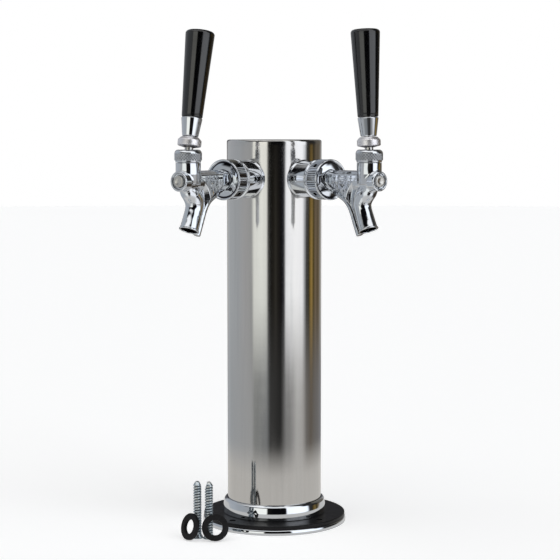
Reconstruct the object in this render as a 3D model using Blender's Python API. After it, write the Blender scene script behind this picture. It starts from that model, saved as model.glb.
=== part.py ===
"""Two-tap beer tower: a 76.2 mm stainless column on a screwed base flange, with two rear-closing taps.

The tower stands on z = 0 and its taps reach towards -Y. Each tap is built in its own frame: +X runs
outward along the tap, +Z is up and the origin is on the column axis at the height of the tap's shaft.
"""

import math

import bmesh
import bpy
from mathutils import Matrix

MM = 0.001

# Column and cap
COLUMN_RADIUS = 38.1
COLUMN_WALL = 1.2
COLUMN_BOTTOM = 4.5
TOWER_HEIGHT = 310.0
CAP_BEND = 3.8
CAP_SEAM = 305.3
CAP_SKIRT_BOTTOM = 297.0
CAP_WALL = 1.2
GAP = 0.3
BEND_STEPS = 5

# Base
FLANGE_RADIUS = 58.3
FLANGE_THICKNESS = 4.2
FLANGE_BORE = 33.0
SPIGOT_HEIGHT = 16.0
COVER_RADIUS = 57.5
COVER_TOP = 7.3
COVER_BEVEL = 0.9
COLLAR_TOP = 19.6
COLLAR_FOOT_RADIUS = 41.8
COLLAR_SKIRT = (41.6, 13.3)
COLLAR_SHOULDER = (40.7, 18.2)
COLLAR_LIP_RADIUS = 39.2
SCREW_CIRCLE_RADIUS = 49.0
SCREW_HOLE_RADIUS = 2.6
SCREW_COUNT = 4

# Taps, measured outward from the column's axis
TAP_ANGLE = 36.2
SHAFT_HEIGHT = 279.2
BARREL_RADIUS = 7.6
BODY_REAR = 65.7
BOSS_FACE = 127.1
BOSS_EDGE_RADIUS = 7.1
RECESS_RADIUS = 6.05
RECESS_DEPTH = 2.0
BORE_RADIUS = 5.2
BORE_FRONT = 122.0
REAR_RIM_RADIUS = 13.0
REAR_RIM = (66.6, 68.2)
MOUTH = (114.2, 0, -37.2)
MOUTH_TILT = 22.9
VENT_SIZE = (1.4, 30, 2.8)
VENT_PLACE = (113.6, 0, -8.9)
VENT_TILT = 28
NECK_X = 114.7
NECK_RADIUS = 9.4
NECK_FOOT_RADIUS = 8.6
NECK_TOP = 13.7
SPIGOT_RADIUS = 7.7
SPIGOT_TOP = 17.5
SPINE_RADIUS = 2.6
SPINE_LINE = ((71.9, -6.9), (92.9, -16.9), (105.2, -43.3), 19.5)
SPOUT_RADIUS = 7.0
SPOUT_BORE_RADIUS = 5.6
SPOUT_LINE = ((115.4, -5.0), (105.0, -15.9), (115.8, -40.4), 12.3)
WEB_THICKNESS = 4.2
WEB_TOP = 2.0
CHEEK_THICKNESS = 13.0
CHEEK_REAR = 74.0
CHEEK_FRONT = 104.0
CHEEK_FOOT = -25.0
CHEEK_INSET = 3.0
BONNET_RADIUS = 10.3
BONNET_TOP = 23.5

# Shank and its nuts
NUT_RADIUS = 15.8
NUT_REAR = 55.2
NUT_FACE = 70.9
NUT_GROOVE_DEPTH = 1.0
SPANNER_HOLE_RADIUS = 1.7
SPANNER_HOLE_X = 64.5
SLEEVE_RADIUS = 14.3
SLEEVE_FACE = 54.9
SHANK_RADIUS = 11.1
SHANK_REAR = 16.0
SHANK_HEAD_RADIUS = 13.8
SHANK_HEAD_FACE = 64.7
CHAMBER_RADIUS = 8.2
KNURL_STEPS = 36
STEM_X = 22.0
STEM_LENGTH = 40.0
LOCKNUT = (27.3, 32.8)

# Shaft
SHAFT_REAR = 60.3
SHAFT_FACE = 127.5
ROD_RADIUS = 3.0
SHAFT_RADIUS = 4.8
SHAFT_TIP_RADIUS = 4.3
SHAFT_STUD_RADIUS = 2.0
SEAT_WASHER = (63.1, 65.4)
SHAFT_NUT = (61.1, 62.8)
SLOT_SIZE = (7.7, 5.4, 9.4)
SLOT_REACH = 18.0

# Lever, measured from its ball. The two levers rest at slightly different angles.
PIVOT_Z = 18.0
BALL_RADIUS = 5.2
STEM_RADIUS = 3.2
ARM_RADIUS = 2.3
ARM_LENGTH = 20.3
LEVER_LEAN = {"left": 9.7, "right": 3.2}
COLLAR_BAND = (8.4, 12.9)
FERRULE_BOTTOM = 15.4
FERRULE_TOP = 29.4
FERRULE_RADIUS = 7.9
GRIP_BOTTOM = 29.8
GRIP_SOCKET = 44.5
GRIP_TOP = 95.35
GRIP_FOOT_RADIUS = 7.9
GRIP_CROWN_RADIUS = 11.0
GRIP_BEND = 2.6

# Fixings that lie beside the base
SCREW_LENGTH = 45.0
SCREW_RADIUS = 3.2
SCREW_HEAD_RADIUS = 4.6
WASHER_OUTER_RADIUS = 10.4
WASHER_INNER_RADIUS = 5.8
WASHER_THICKNESS = 3.0
LOOSE_SCREWS = ((-62.4, -61.0), (-53.4, -63.7))
LOOSE_WASHERS = ((-68.0, -67.0, 15, -55), (-48.6, -71.2, 14, 8))

# The frame's origin is under the middle of the tower's box, so the column stands behind it.
TAP_RADIANS = math.radians(TAP_ANGLE)
FRONT_REACH = BOSS_FACE * math.cos(TAP_RADIANS) + BOSS_EDGE_RADIUS * math.sin(TAP_RADIANS)
COLUMN_Y = (FRONT_REACH - FLANGE_RADIUS) / 2


def clear_scene():
    for obj in list(bpy.data.objects):
        bpy.data.objects.remove(obj, do_unlink=True)


def material(name, colour, roughness, metallic):
    made = bpy.data.materials.new(name)
    made.use_nodes = True
    shader = made.node_tree.nodes["Principled BSDF"]
    shader.inputs["Base Color"].default_value = (*colour, 1.0)
    shader.inputs["Roughness"].default_value = roughness
    shader.inputs["Metallic"].default_value = metallic
    return made


def add_object(name, bm, finish, parent=None, at=(0, 0, 0), turn=(0, 0, 0)):
    """Makes an object of the bmesh. Its location is in millimetres and its rotation in degrees."""
    bmesh.ops.recalc_face_normals(bm, faces=bm.faces)
    mesh = bpy.data.meshes.new(name)
    bm.to_mesh(mesh)
    bm.free()
    for face in mesh.polygons:
        face.use_smooth = True
    mesh.materials.append(finish)
    obj = bpy.data.objects.new(name, mesh)
    bpy.context.scene.collection.objects.link(obj)
    obj.parent = parent
    obj.location = [value * MM for value in at]
    obj.rotation_euler = [math.radians(value) for value in turn]
    return obj


def add_frame(name, parent=None, at=(0, 0, 0), turn=(0, 0, 0)):
    frame = bpy.data.objects.new(name, None)
    bpy.context.scene.collection.objects.link(frame)
    frame.parent = parent
    frame.location = [value * MM for value in at]
    frame.rotation_euler = [math.radians(value) for value in turn]
    return frame


def revolved(outline, steps):
    """A solid turned about Z from (radius, height) points; an outline from the axis also ends on it."""
    bm = bmesh.new()
    verts = [bm.verts.new((r * MM, 0, z * MM)) for r, z in outline]
    pairs = list(zip(verts, verts[1:]))
    if outline[0][0] > 0:
        pairs.append((verts[-1], verts[0]))
    edges = [bm.edges.new(pair) for pair in pairs]
    bmesh.ops.spin(bm, geom=verts + edges, cent=(0, 0, 0), axis=(0, 0, 1), angle=2 * math.pi, steps=steps)
    bmesh.ops.remove_doubles(bm, verts=bm.verts, dist=1e-6)
    return bm


def arc(centre, radius, start, end, count):
    """Points on an arc, its angles in degrees from the outward direction."""
    points = []
    for i in range(count + 1):
        angle = math.radians(start + (end - start) * i / count)
        points.append((centre[0] + radius * math.cos(angle), centre[1] + radius * math.sin(angle)))
    return points


def knurl(bm, radius, low, high, depth):
    """Draws in every second vertex of the band between two heights, which leaves straight ridges round it."""
    for vert in bm.verts:
        reach = math.hypot(vert.co.x, vert.co.y)
        if low * MM < vert.co.z < high * MM and abs(reach - radius * MM) < 1e-5:
            turn = math.atan2(vert.co.y, vert.co.x) / (2 * math.pi)
            if round(turn * KNURL_STEPS) % 2:
                vert.co.x *= 1 - depth / radius
                vert.co.y *= 1 - depth / radius


def prism(sides, across_flats, low, high, bore, bore_steps=24):
    """A polygon nut about Z, with a plain hole."""
    bm = bmesh.new()
    corner = across_flats / 2 / math.cos(math.pi / sides)
    for z in (low, high):
        bmesh.ops.create_circle(bm, segments=sides, radius=corner * MM, matrix=shift(z))
        bmesh.ops.create_circle(bm, segments=bore_steps, radius=bore * MM, matrix=shift(z))
    edges = list(bm.edges)
    for z in (low, high):
        ring = [e for e in edges if abs(e.verts[0].co.z - z * MM) < 1e-7]
        bmesh.ops.triangle_fill(bm, use_beauty=True, edges=ring)
    for steps_radius in (corner, bore):
        loops = [e for e in edges if abs(e.verts[0].co.xy.length - steps_radius * MM) < 1e-6]
        bmesh.ops.bridge_loops(bm, edges=loops)
    return bm


def shift(z):
    return Matrix.Translation((0, 0, z * MM))


def swept(path, radius, sides):
    """A closed round bar along (x, z) points in the plane y = 0."""
    bm = bmesh.new()
    rings = []
    for i, (x, z) in enumerate(path):
        before = path[max(i - 1, 0)]
        after = path[min(i + 1, len(path) - 1)]
        along = math.atan2(after[1] - before[1], after[0] - before[0])
        ring = []
        for k in range(sides):
            angle = 2 * math.pi * k / sides
            across = radius * math.cos(angle)
            side = radius * math.sin(angle)
            point = (x - across * math.sin(along), side, z + across * math.cos(along))
            ring.append(bm.verts.new([value * MM for value in point]))
        rings.append(ring)
    for first, second in zip(rings, rings[1:]):
        for k in range(sides):
            n = (k + 1) % sides
            bm.faces.new((first[k], first[n], second[n], second[k]))
    bm.faces.new(rings[0])
    bm.faces.new(rings[-1])
    return bm


def plate(outline, thickness):
    """A flat plate from (x, z) points, centred on the plane y = 0."""
    bm = bmesh.new()
    verts = [bm.verts.new((x * MM, -thickness / 2 * MM, z * MM)) for x, z in outline]
    face = bm.faces.new(verts)
    made = bmesh.ops.extrude_face_region(bm, geom=[face])
    moved = [item for item in made["geom"] if isinstance(item, bmesh.types.BMVert)]
    bmesh.ops.translate(bm, verts=moved, vec=(0, thickness * MM, 0))
    return bm


def box(size, centre):
    bm = bmesh.new()
    bmesh.ops.create_cube(bm, size=MM)
    bmesh.ops.scale(bm, verts=bm.verts, vec=size)
    bmesh.ops.translate(bm, verts=bm.verts, vec=[value * MM for value in centre])
    return bm


def combine(target, operation, tool):
    modifier = target.modifiers.new(tool.name, "BOOLEAN")
    modifier.operation = operation
    modifier.object = tool
    modifier.solver = "EXACT"
    tool.hide_render = True
    tool.display_type = "WIRE"


def cut(target, name, bm, parent=None, at=(0, 0, 0), turn=(0, 0, 0)):
    combine(target, "DIFFERENCE", add_object(name, bm, target.data.materials[0], parent, at, turn))


def join(target, name, bm, parent=None, at=(0, 0, 0), turn=(0, 0, 0)):
    combine(target, "UNION", add_object(name, bm, target.data.materials[0], parent, at, turn))


def cylinder(radius, low, high, steps):
    return revolved([(0, low), (radius, low), (radius, high), (0, high)], steps)


# Tower

def build_column(finish, tower, tap_turns):
    inner = COLUMN_RADIUS - COLUMN_WALL
    top = CAP_SEAM - GAP
    outline = [(inner, COLUMN_BOTTOM), (COLUMN_RADIUS, COLUMN_BOTTOM), (COLUMN_RADIUS, top), (inner, top)]
    column = add_object("column_tube", revolved(outline, 48), finish, tower)
    for i, turn in enumerate(tap_turns):
        hole = cylinder(SHANK_RADIUS + GAP, 20, 60, 24)
        cut(column, f"column_hole_cutter_{i}", hole, tower, (0, 0, SHAFT_HEIGHT), (0, 90, turn))


def build_cap(finish, tower):
    bend = arc((COLUMN_RADIUS - CAP_BEND, TOWER_HEIGHT - CAP_BEND), CAP_BEND, 90, 0, 3)
    plug = COLUMN_RADIUS - COLUMN_WALL - GAP
    inside = plug - CAP_WALL
    under = TOWER_HEIGHT - CAP_WALL
    outline = [(0, TOWER_HEIGHT), *bend, (COLUMN_RADIUS, CAP_SEAM), (plug, CAP_SEAM)]
    outline += [(plug, CAP_SKIRT_BOTTOM), (inside, CAP_SKIRT_BOTTOM), (inside, under), (0, under)]
    add_object("top_cap", revolved(outline, 48), finish, tower)


def screw_positions():
    for i in range(SCREW_COUNT):
        angle = math.radians(45 + i * 360 / SCREW_COUNT)
        yield i, (SCREW_CIRCLE_RADIUS * math.cos(angle), SCREW_CIRCLE_RADIUS * math.sin(angle), 0)


def build_flange(finish, tower):
    edge = FLANGE_THICKNESS / 2
    rim = arc((FLANGE_RADIUS - edge, edge), edge, -45, 45, 2)
    top = FLANGE_THICKNESS
    spigot = COLUMN_RADIUS - COLUMN_WALL - GAP
    outline = [(FLANGE_BORE, 0), (FLANGE_RADIUS - edge, 0), *rim, (FLANGE_RADIUS - edge, top)]
    outline += [(spigot, top), (spigot, SPIGOT_HEIGHT), (FLANGE_BORE, SPIGOT_HEIGHT)]
    flange = add_object("base_flange", revolved(outline, 48), finish, tower)
    for i, at in screw_positions():
        cut(flange, f"flange_hole_cutter_{i}", cylinder(SCREW_HOLE_RADIUS, -2, 10, 12), tower, at)


def build_cover(finish, tower):
    bottom = FLANGE_THICKNESS + GAP
    bore = COLUMN_RADIUS + GAP
    outline = [(bore, bottom), (COVER_RADIUS, bottom), (COVER_RADIUS, COVER_TOP - COVER_BEVEL)]
    outline += [(COVER_RADIUS - COVER_BEVEL, COVER_TOP), (bore, COVER_TOP)]
    cover = add_object("base_cover_ring", revolved(outline, 48), finish, tower)
    for i, at in screw_positions():
        cut(cover, f"cover_hole_cutter_{i}", cylinder(SCREW_HOLE_RADIUS, 2, 10, 12), tower, at)


def build_foot_collar(finish, tower):
    """An upright skirt, a slightly drawn-in shoulder and a lip turned in against the column."""
    bottom = COVER_TOP + GAP
    bore = COLUMN_RADIUS + GAP
    outline = [(bore, bottom), (COLLAR_FOOT_RADIUS, bottom), COLLAR_SKIRT, COLLAR_SHOULDER]
    outline += [(COLLAR_LIP_RADIUS, COLLAR_TOP), (bore, COLLAR_TOP)]
    add_object("foot_collar", revolved(outline, 48), finish, tower)


# Shank through the column wall

def build_sleeve(side, finish, tap, tower):
    bore = SHANK_RADIUS + GAP
    outline = [(bore, 30), (SLEEVE_RADIUS, 30), (SLEEVE_RADIUS, SLEEVE_FACE), (bore, SLEEVE_FACE)]
    sleeve = add_object(f"{side}_shank_sleeve", revolved(outline, 28), finish, tap, turn=(0, 90, 0))
    saddle = cylinder(COLUMN_RADIUS + GAP, SHAFT_HEIGHT - 30, SHAFT_HEIGHT + 29, 48)
    cut(sleeve, f"{side}_saddle_cutter", saddle, tower)


def build_shank(side, finish, tap):
    shoulder = NUT_REAR + 0.1
    chamber_end = SHANK_HEAD_FACE - 12.6
    beerway = 4.0
    outline = [(0, SHANK_REAR), (SHANK_RADIUS, SHANK_REAR), (SHANK_RADIUS, shoulder)]
    outline += [(SHANK_HEAD_RADIUS, shoulder), (SHANK_HEAD_RADIUS, SHANK_HEAD_FACE)]
    outline += [(CHAMBER_RADIUS, SHANK_HEAD_FACE), (CHAMBER_RADIUS, chamber_end)]
    outline += [(beerway, chamber_end - 2), (beerway, SHANK_REAR + 4), (0, SHANK_REAR + 4)]
    shank = add_object(f"{side}_shank", revolved(outline, 20), finish, tap, turn=(0, 90, 0))
    cut(shank, f"{side}_stem_hole_cutter", cylinder(4.3, -14, -2, 12), tap, (STEM_X, 0, 0))


def build_tail_stem(side, finish, tap):
    """The barbed stem that the beer line is pushed onto."""
    bore = 2.6
    root = 4.0
    top = -3.4
    outline = [(bore, top), (bore, -STEM_LENGTH), (3.4, -STEM_LENGTH)]
    for i in range(3):
        low = -STEM_LENGTH + 1.5 + 5 * i
        outline += [(4.8, low), (root, low + 3.5)]
    outline += [(root, top)]
    add_object(f"{side}_tail_stem", revolved(outline, 12), finish, tap, (STEM_X, 0, 0))


def build_locknut(side, finish, tap):
    nut = prism(6, 28, *LOCKNUT, SHANK_RADIUS + GAP)
    add_object(f"{side}_shank_locknut", nut, finish, tap, turn=(0, 90, 0))


def build_coupling_nut(side, finish, tap):
    """A rear bead, a groove, a ridged band and a raised lip round the front face."""
    bore = SHANK_HEAD_RADIUS + GAP
    face_bore = BARREL_RADIUS + 0.4
    band = NUT_RADIUS - 0.2
    groove = NUT_RADIUS - NUT_GROOVE_DEPTH
    band_rear = NUT_REAR + 4.0
    face_rear = REAR_RIM[1] + GAP
    outline = [(bore, NUT_REAR), (NUT_RADIUS, NUT_REAR), (NUT_RADIUS, NUT_REAR + 1.5)]
    outline += [(groove, NUT_REAR + 2.0), (groove, band_rear - 0.4), (band, band_rear)]
    outline += [(band, NUT_FACE - 1.6), (NUT_RADIUS, NUT_FACE - 1.3), (NUT_RADIUS - 0.4, NUT_FACE)]
    outline += [(NUT_RADIUS - 1.6, NUT_FACE - 0.5), (face_bore, NUT_FACE - 0.5)]
    outline += [(face_bore, face_rear), (bore, face_rear)]
    bm = revolved(outline, KNURL_STEPS)
    knurl(bm, band, band_rear - 0.2, NUT_FACE - 1.4, 0.35)
    nut = add_object(f"{side}_coupling_nut", bm, finish, tap, turn=(0, 90, 0))
    for i in range(4):
        hole = cylinder(SPANNER_HOLE_RADIUS, 10, 20, 6)
        place = (SPANNER_HOLE_X, 0, 0)
        cut(nut, f"{side}_spanner_hole_cutter_{i}", hole, tap, place, (45 + 90 * i, 0, 0))


def build_coupling_washer(side, finish, tap):
    rear = SHANK_HEAD_FACE + GAP
    front = REAR_RIM[0] - GAP
    inner = CHAMBER_RADIUS
    outline = [(inner, rear), (REAR_RIM_RADIUS, rear), (REAR_RIM_RADIUS, front), (inner, front)]
    add_object(f"{side}_coupling_washer", revolved(outline, 20), finish, tap, turn=(0, 90, 0))


# Tap body

def bent_line(start, corner, end, radius):
    """(x, z) points from start to end, straight but for an arc of the given radius round the corner."""
    before = math.atan2(corner[1] - start[1], corner[0] - start[0])
    after = math.atan2(end[1] - corner[1], end[0] - corner[0])
    turn = math.remainder(after - before, 2 * math.pi)
    side = math.copysign(1, turn)
    reach = radius * math.tan(abs(turn) / 2)
    first = (corner[0] - reach * math.cos(before), corner[1] - reach * math.sin(before))
    centre = (first[0] - side * radius * math.sin(before), first[1] + side * radius * math.cos(before))
    points = [start]
    for i in range(BEND_STEPS + 1):
        heading = before + turn * i / BEND_STEPS
        x = centre[0] + side * radius * math.sin(heading)
        points.append((x, centre[1] - side * radius * math.cos(heading)))
    return [*points, end]


def cheek_outline(spine):
    """The thick flat-sided part of the web, which stays inside the rib below it and the spout in front."""
    upper = [(x + CHEEK_INSET / 3, z + CHEEK_INSET) for x, z in spine if x > CHEEK_REAR and z > CHEEK_FOOT]
    return [(CHEEK_REAR, WEB_TOP), (CHEEK_REAR + 2, spine[0][1]), *upper, (CHEEK_FRONT, CHEEK_FOOT),
            (CHEEK_FRONT, WEB_TOP)]


def spout_passage(spout):
    """The spout's middle line, started a little lower and run on past the mouth."""
    (x1, z1), (x2, z2) = spout[-2:]
    start = [(a + b) / 2 for a, b in zip(spout[0], spout[1])]
    return [start, *spout[1:-1], (x2 + (x2 - x1) / 4, z2 + (z2 - z1) / 4)]


def build_tap_body(side, finish, tap):
    rim_rear, rim_front = REAR_RIM
    outline = [(0, BODY_REAR), (BARREL_RADIUS, BODY_REAR), (BARREL_RADIUS, rim_rear)]
    outline += [(REAR_RIM_RADIUS, rim_rear), (REAR_RIM_RADIUS, rim_front), (BARREL_RADIUS, rim_front)]
    outline += [(BARREL_RADIUS, BOSS_FACE - 0.5), (BOSS_EDGE_RADIUS, BOSS_FACE), (0, BOSS_FACE)]
    body = add_object(f"{side}_tap_body", revolved(outline, 20), finish, tap, turn=(0, 90, 0))
    neck = [(0, -2), (NECK_FOOT_RADIUS, -2), (NECK_RADIUS, 5), (NECK_RADIUS, NECK_TOP)]
    neck += [(SPIGOT_RADIUS, NECK_TOP), (SPIGOT_RADIUS, SPIGOT_TOP), (0, SPIGOT_TOP)]
    join(body, f"{side}_neck_form", revolved(neck, 18), tap, (NECK_X, 0, 0))
    spine = bent_line(*SPINE_LINE)
    spout = bent_line(*SPOUT_LINE)
    web = [(spine[0][0] + 1, WEB_TOP), *spine, *reversed(spout[1:]), (NECK_X - 4, WEB_TOP)]
    join(body, f"{side}_web_form", plate(web, WEB_THICKNESS), tap)
    join(body, f"{side}_cheek_form", plate(cheek_outline(spine), CHEEK_THICKNESS), tap)
    join(body, f"{side}_spine_form", swept(spine, SPINE_RADIUS, 8), tap)
    join(body, f"{side}_spout_form", swept(spout, SPOUT_RADIUS, 14), tap)
    mouth = box((50, 30, 20), (0, 0, -10))
    cut(body, f"{side}_mouth_cutter", mouth, tap, MOUTH, (0, -MOUTH_TILT, 0))
    vent = box(VENT_SIZE, (0, 0, 0))
    cut(body, f"{side}_vent_cutter", vent, tap, VENT_PLACE, (0, VENT_TILT, 0))
    cut(body, f"{side}_spout_bore_cutter", swept(spout_passage(spout), SPOUT_BORE_RADIUS, 12), tap)
    recess = BOSS_FACE - RECESS_DEPTH
    collar_bore = SHAFT_TIP_RADIUS + GAP
    bore = [(0, 50), (BORE_RADIUS, 50), (BORE_RADIUS, BORE_FRONT), (collar_bore, BORE_FRONT)]
    bore += [(collar_bore, recess), (RECESS_RADIUS, recess), (RECESS_RADIUS, 135), (0, 135)]
    cut(body, f"{side}_shaft_bore_cutter", revolved(bore, 14), tap, turn=(0, 90, 0))
    socket = [(0, -1), (6.3, -1), (6.3, 4), (3.7, 13.9), (5.7, 14.6), (5.7, 20), (0, 20)]
    cut(body, f"{side}_socket_cutter", revolved(socket, 14), tap, (NECK_X, 0, 0))


def build_bonnet(side, finish, tap):
    """The knurled cap screwed on the neck, which holds the lever's ball down."""
    low_radius = BONNET_RADIUS - 0.7
    low = NECK_TOP + GAP
    outline = [(8.0, low), (low_radius, low), (low_radius, low + 1.4), (BONNET_RADIUS, low + 1.6)]
    outline += [(BONNET_RADIUS, BONNET_TOP - 2.8), (8.6, BONNET_TOP), (5.0, BONNET_TOP)]
    outline += [(4.5, 21.9), (6.7, 21.9), (6.7, SPIGOT_TOP + 0.4), (8.0, SPIGOT_TOP + 0.4)]
    bm = revolved(outline, KNURL_STEPS)
    knurl(bm, BONNET_RADIUS, low + 1, BONNET_TOP - 2, 0.3)
    add_object(f"{side}_bonnet", bm, finish, tap, (NECK_X, 0, 0))


def build_ball_washer(side, finish, tap):
    outline = [(5.95, 18.9), (6.4, 18.9), (6.4, 21.6), (4.4, 21.6)]
    add_object(f"{side}_ball_washer", revolved(outline, 16), finish, tap, (NECK_X, 0, 0))


# Shaft, which slides

def build_shaft(side, finish, tap):
    shoulder = BODY_REAR + 0.9
    head_rear = NECK_X - 5.0
    head_front = BORE_FRONT - 0.4
    outline = [(0, SHAFT_REAR), (SHAFT_STUD_RADIUS, SHAFT_REAR), (SHAFT_STUD_RADIUS, shoulder)]
    outline += [(ROD_RADIUS, shoulder), (ROD_RADIUS, head_rear - 2), (SHAFT_RADIUS, head_rear)]
    outline += [(SHAFT_RADIUS, head_front), (SHAFT_TIP_RADIUS, head_front)]
    outline += [(SHAFT_TIP_RADIUS, SHAFT_FACE - 0.4), (SHAFT_TIP_RADIUS - 0.5, SHAFT_FACE), (0, SHAFT_FACE)]
    shaft = add_object(f"{side}_shaft", revolved(outline, 16), finish, tap, turn=(0, 90, 0))
    arm_out = SLOT_REACH * math.sin(math.radians(LEVER_LEAN[side]))
    slot = box(SLOT_SIZE, (NECK_X + arm_out, 0, 1.5))
    cut(shaft, f"{side}_slot_cutter", slot, tap)


def build_seat_washer(side, finish, tap):
    rear, front = SEAT_WASHER
    bore = SHAFT_STUD_RADIUS + GAP
    outline = [(bore, rear), (6.6, rear), (6.6, front), (bore, front)]
    add_object(f"{side}_seat_washer", revolved(outline, 16), finish, tap, turn=(0, 90, 0))


def build_shaft_nut(side, finish, tap):
    nut = prism(6, 7.0, *SHAFT_NUT, SHAFT_STUD_RADIUS + GAP, 12)
    add_object(f"{side}_shaft_nut", nut, finish, tap, turn=(0, 90, 0))


# Lever and handle, which swing on the ball

def build_lever(side, finish, pivot):
    ball = arc((0, 0), BALL_RADIUS, -62, 50, 5)
    top = GRIP_SOCKET - 1.5
    outline = [(0, -ARM_LENGTH), (ARM_RADIUS - 0.7, -ARM_LENGTH), (ARM_RADIUS, -ARM_LENGTH + 0.8)]
    outline += [(ARM_RADIUS, ball[0][1] - 0.2), *ball, (STEM_RADIUS, ball[-1][1] + 0.2)]
    outline += [(STEM_RADIUS, top - 0.6), (STEM_RADIUS - 0.6, top), (0, top)]
    add_object(f"{side}_lever", revolved(outline, 16), finish, pivot)


def build_lever_collar(side, finish, pivot):
    bore = STEM_RADIUS + GAP
    low, high = COLLAR_BAND
    top = FERRULE_BOTTOM - GAP
    outline = [(bore, low - 1.4), (8.9, low), (8.9, high), (6.4, top), (bore, top)]
    add_object(f"{side}_lever_collar", revolved(outline, 28), finish, pivot)


def build_ferrule(side, finish, pivot):
    bore = STEM_RADIUS + GAP
    outline = [(bore, FERRULE_BOTTOM), (5.8, FERRULE_BOTTOM), (6.1, FERRULE_BOTTOM + 0.4)]
    outline += [(FERRULE_RADIUS, FERRULE_TOP - 0.6), (FERRULE_RADIUS - 0.2, FERRULE_TOP), (bore, FERRULE_TOP)]
    add_object(f"{side}_ferrule", revolved(outline, 28), finish, pivot)


def build_handle(side, finish, pivot):
    bore = STEM_RADIUS + GAP
    crown = arc((GRIP_CROWN_RADIUS - GRIP_BEND, GRIP_TOP - GRIP_BEND - 0.35), GRIP_BEND, 5, 80, 3)
    outline = [(0, GRIP_SOCKET), (bore, GRIP_SOCKET), (bore, GRIP_BOTTOM)]
    outline += [(GRIP_FOOT_RADIUS - 0.4, GRIP_BOTTOM), (GRIP_FOOT_RADIUS, GRIP_BOTTOM + 0.6), *crown]
    outline += [(GRIP_CROWN_RADIUS / 2, GRIP_TOP - 0.1), (0, GRIP_TOP)]
    add_object(f"{side}_handle", revolved(outline, 28), finish, pivot)


# Fixings beside the base

def build_loose_screws(finish, tower):
    """Countersunk screws that stand on their heads."""
    outline = [(0, 0), (SCREW_HEAD_RADIUS, 0), (SCREW_HEAD_RADIUS, 0.6), (SCREW_RADIUS, 3.4)]
    outline += [(SCREW_RADIUS, SCREW_LENGTH - 2), (SCREW_RADIUS - 1.4, SCREW_LENGTH), (0, SCREW_LENGTH)]
    for i, (x, y) in enumerate(LOOSE_SCREWS, 1):
        add_object(f"loose_screw_{i}", revolved(outline, 14), finish, tower, (x, y, 0))


def build_loose_washers(finish, tower):
    """Rubber washers that stand on edge and lean towards the screws."""
    half = WASHER_THICKNESS / 2
    outline = [(WASHER_INNER_RADIUS, -half), (WASHER_OUTER_RADIUS, -half)]
    outline += [(WASHER_OUTER_RADIUS, half), (WASHER_INNER_RADIUS, half)]
    for i, (x, y, lean, heading) in enumerate(LOOSE_WASHERS, 1):
        height = WASHER_OUTER_RADIUS * math.cos(math.radians(lean)) + half * math.sin(math.radians(lean))
        turn = (90 - lean, 0, heading)
        add_object(f"loose_washer_{i}", revolved(outline, 28), finish, tower, (x, y, height), turn)


def build_tap(side, turn, tower, finishes):
    tap = add_frame(f"{side}_tap_frame", tower, (0, 0, SHAFT_HEIGHT), (0, 0, turn))
    build_sleeve(side, finishes["chrome"], tap, tower)
    build_shank(side, finishes["brass"], tap)
    build_tail_stem(side, finishes["steel"], tap)
    build_locknut(side, finishes["brass"], tap)
    build_coupling_nut(side, finishes["chrome"], tap)
    build_coupling_washer(side, finishes["rubber"], tap)
    build_tap_body(side, finishes["chrome"], tap)
    build_bonnet(side, finishes["chrome"], tap)
    build_ball_washer(side, finishes["nylon"], tap)
    build_shaft(side, finishes["brass"], tap)
    build_seat_washer(side, finishes["rubber"], tap)
    build_shaft_nut(side, finishes["brass"], tap)
    pivot = add_frame(f"{side}_lever_axis", tap, (NECK_X, 0, PIVOT_Z), (0, -LEVER_LEAN[side], 0))
    build_lever(side, finishes["steel"], pivot)
    build_lever_collar(side, finishes["chrome"], pivot)
    build_ferrule(side, finishes["chrome"], pivot)
    build_handle(side, finishes["plastic"], pivot)


def main():
    clear_scene()
    finishes = {
        "polished": material("polished_stainless", (0.62, 0.61, 0.59), 0.16, 1.0),
        "chrome": material("chrome_plate", (0.70, 0.71, 0.73), 0.07, 1.0),
        "cover": material("black_enamel", (0.015, 0.015, 0.016), 0.28, 0.0),
        "plastic": material("black_phenolic", (0.012, 0.012, 0.013), 0.22, 0.0),
        "rubber": material("black_rubber", (0.02, 0.02, 0.02), 0.75, 0.0),
        "brass": material("brass", (0.62, 0.52, 0.33), 0.30, 1.0),
        "steel": material("stainless", (0.55, 0.54, 0.52), 0.28, 1.0),
        "zinc": material("zinc_plate", (0.50, 0.56, 0.60), 0.32, 1.0),
        "nylon": material("white_nylon", (0.80, 0.79, 0.75), 0.50, 0.0),
    }
    tower = add_frame("tower_axis", at=(0, COLUMN_Y, 0))
    turns = {"left": -90 - TAP_ANGLE, "right": -90 + TAP_ANGLE}
    build_flange(finishes["chrome"], tower)
    build_cover(finishes["cover"], tower)
    build_column(finishes["polished"], tower, turns.values())
    build_cap(finishes["polished"], tower)
    build_foot_collar(finishes["chrome"], tower)
    for side, turn in turns.items():
        build_tap(side, turn, tower, finishes)
    build_loose_screws(finishes["zinc"], tower)
    build_loose_washers(finishes["rubber"], tower)


main()
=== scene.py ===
"""Looks of the two-tap beer tower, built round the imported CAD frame.

Lengths in the outlines are millimetres and become metres in add_piece(). Each tap has its own frame:
+X runs outward along the tap, +Z is up and the origin is on the column's axis at the shaft's height.
"""

import math

import bmesh
import bpy
import numpy as np
from mathutils import Matrix, Vector


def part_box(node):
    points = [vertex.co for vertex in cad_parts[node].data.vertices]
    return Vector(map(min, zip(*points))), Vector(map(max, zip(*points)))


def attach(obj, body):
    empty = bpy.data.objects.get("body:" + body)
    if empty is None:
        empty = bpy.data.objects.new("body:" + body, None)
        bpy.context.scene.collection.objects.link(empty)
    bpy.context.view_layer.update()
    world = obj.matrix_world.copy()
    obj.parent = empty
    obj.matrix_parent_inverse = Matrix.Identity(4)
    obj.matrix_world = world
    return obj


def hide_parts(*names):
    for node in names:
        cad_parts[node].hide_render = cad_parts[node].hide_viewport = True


MM = 0.001
SIDES = ("left", "right")

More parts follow.
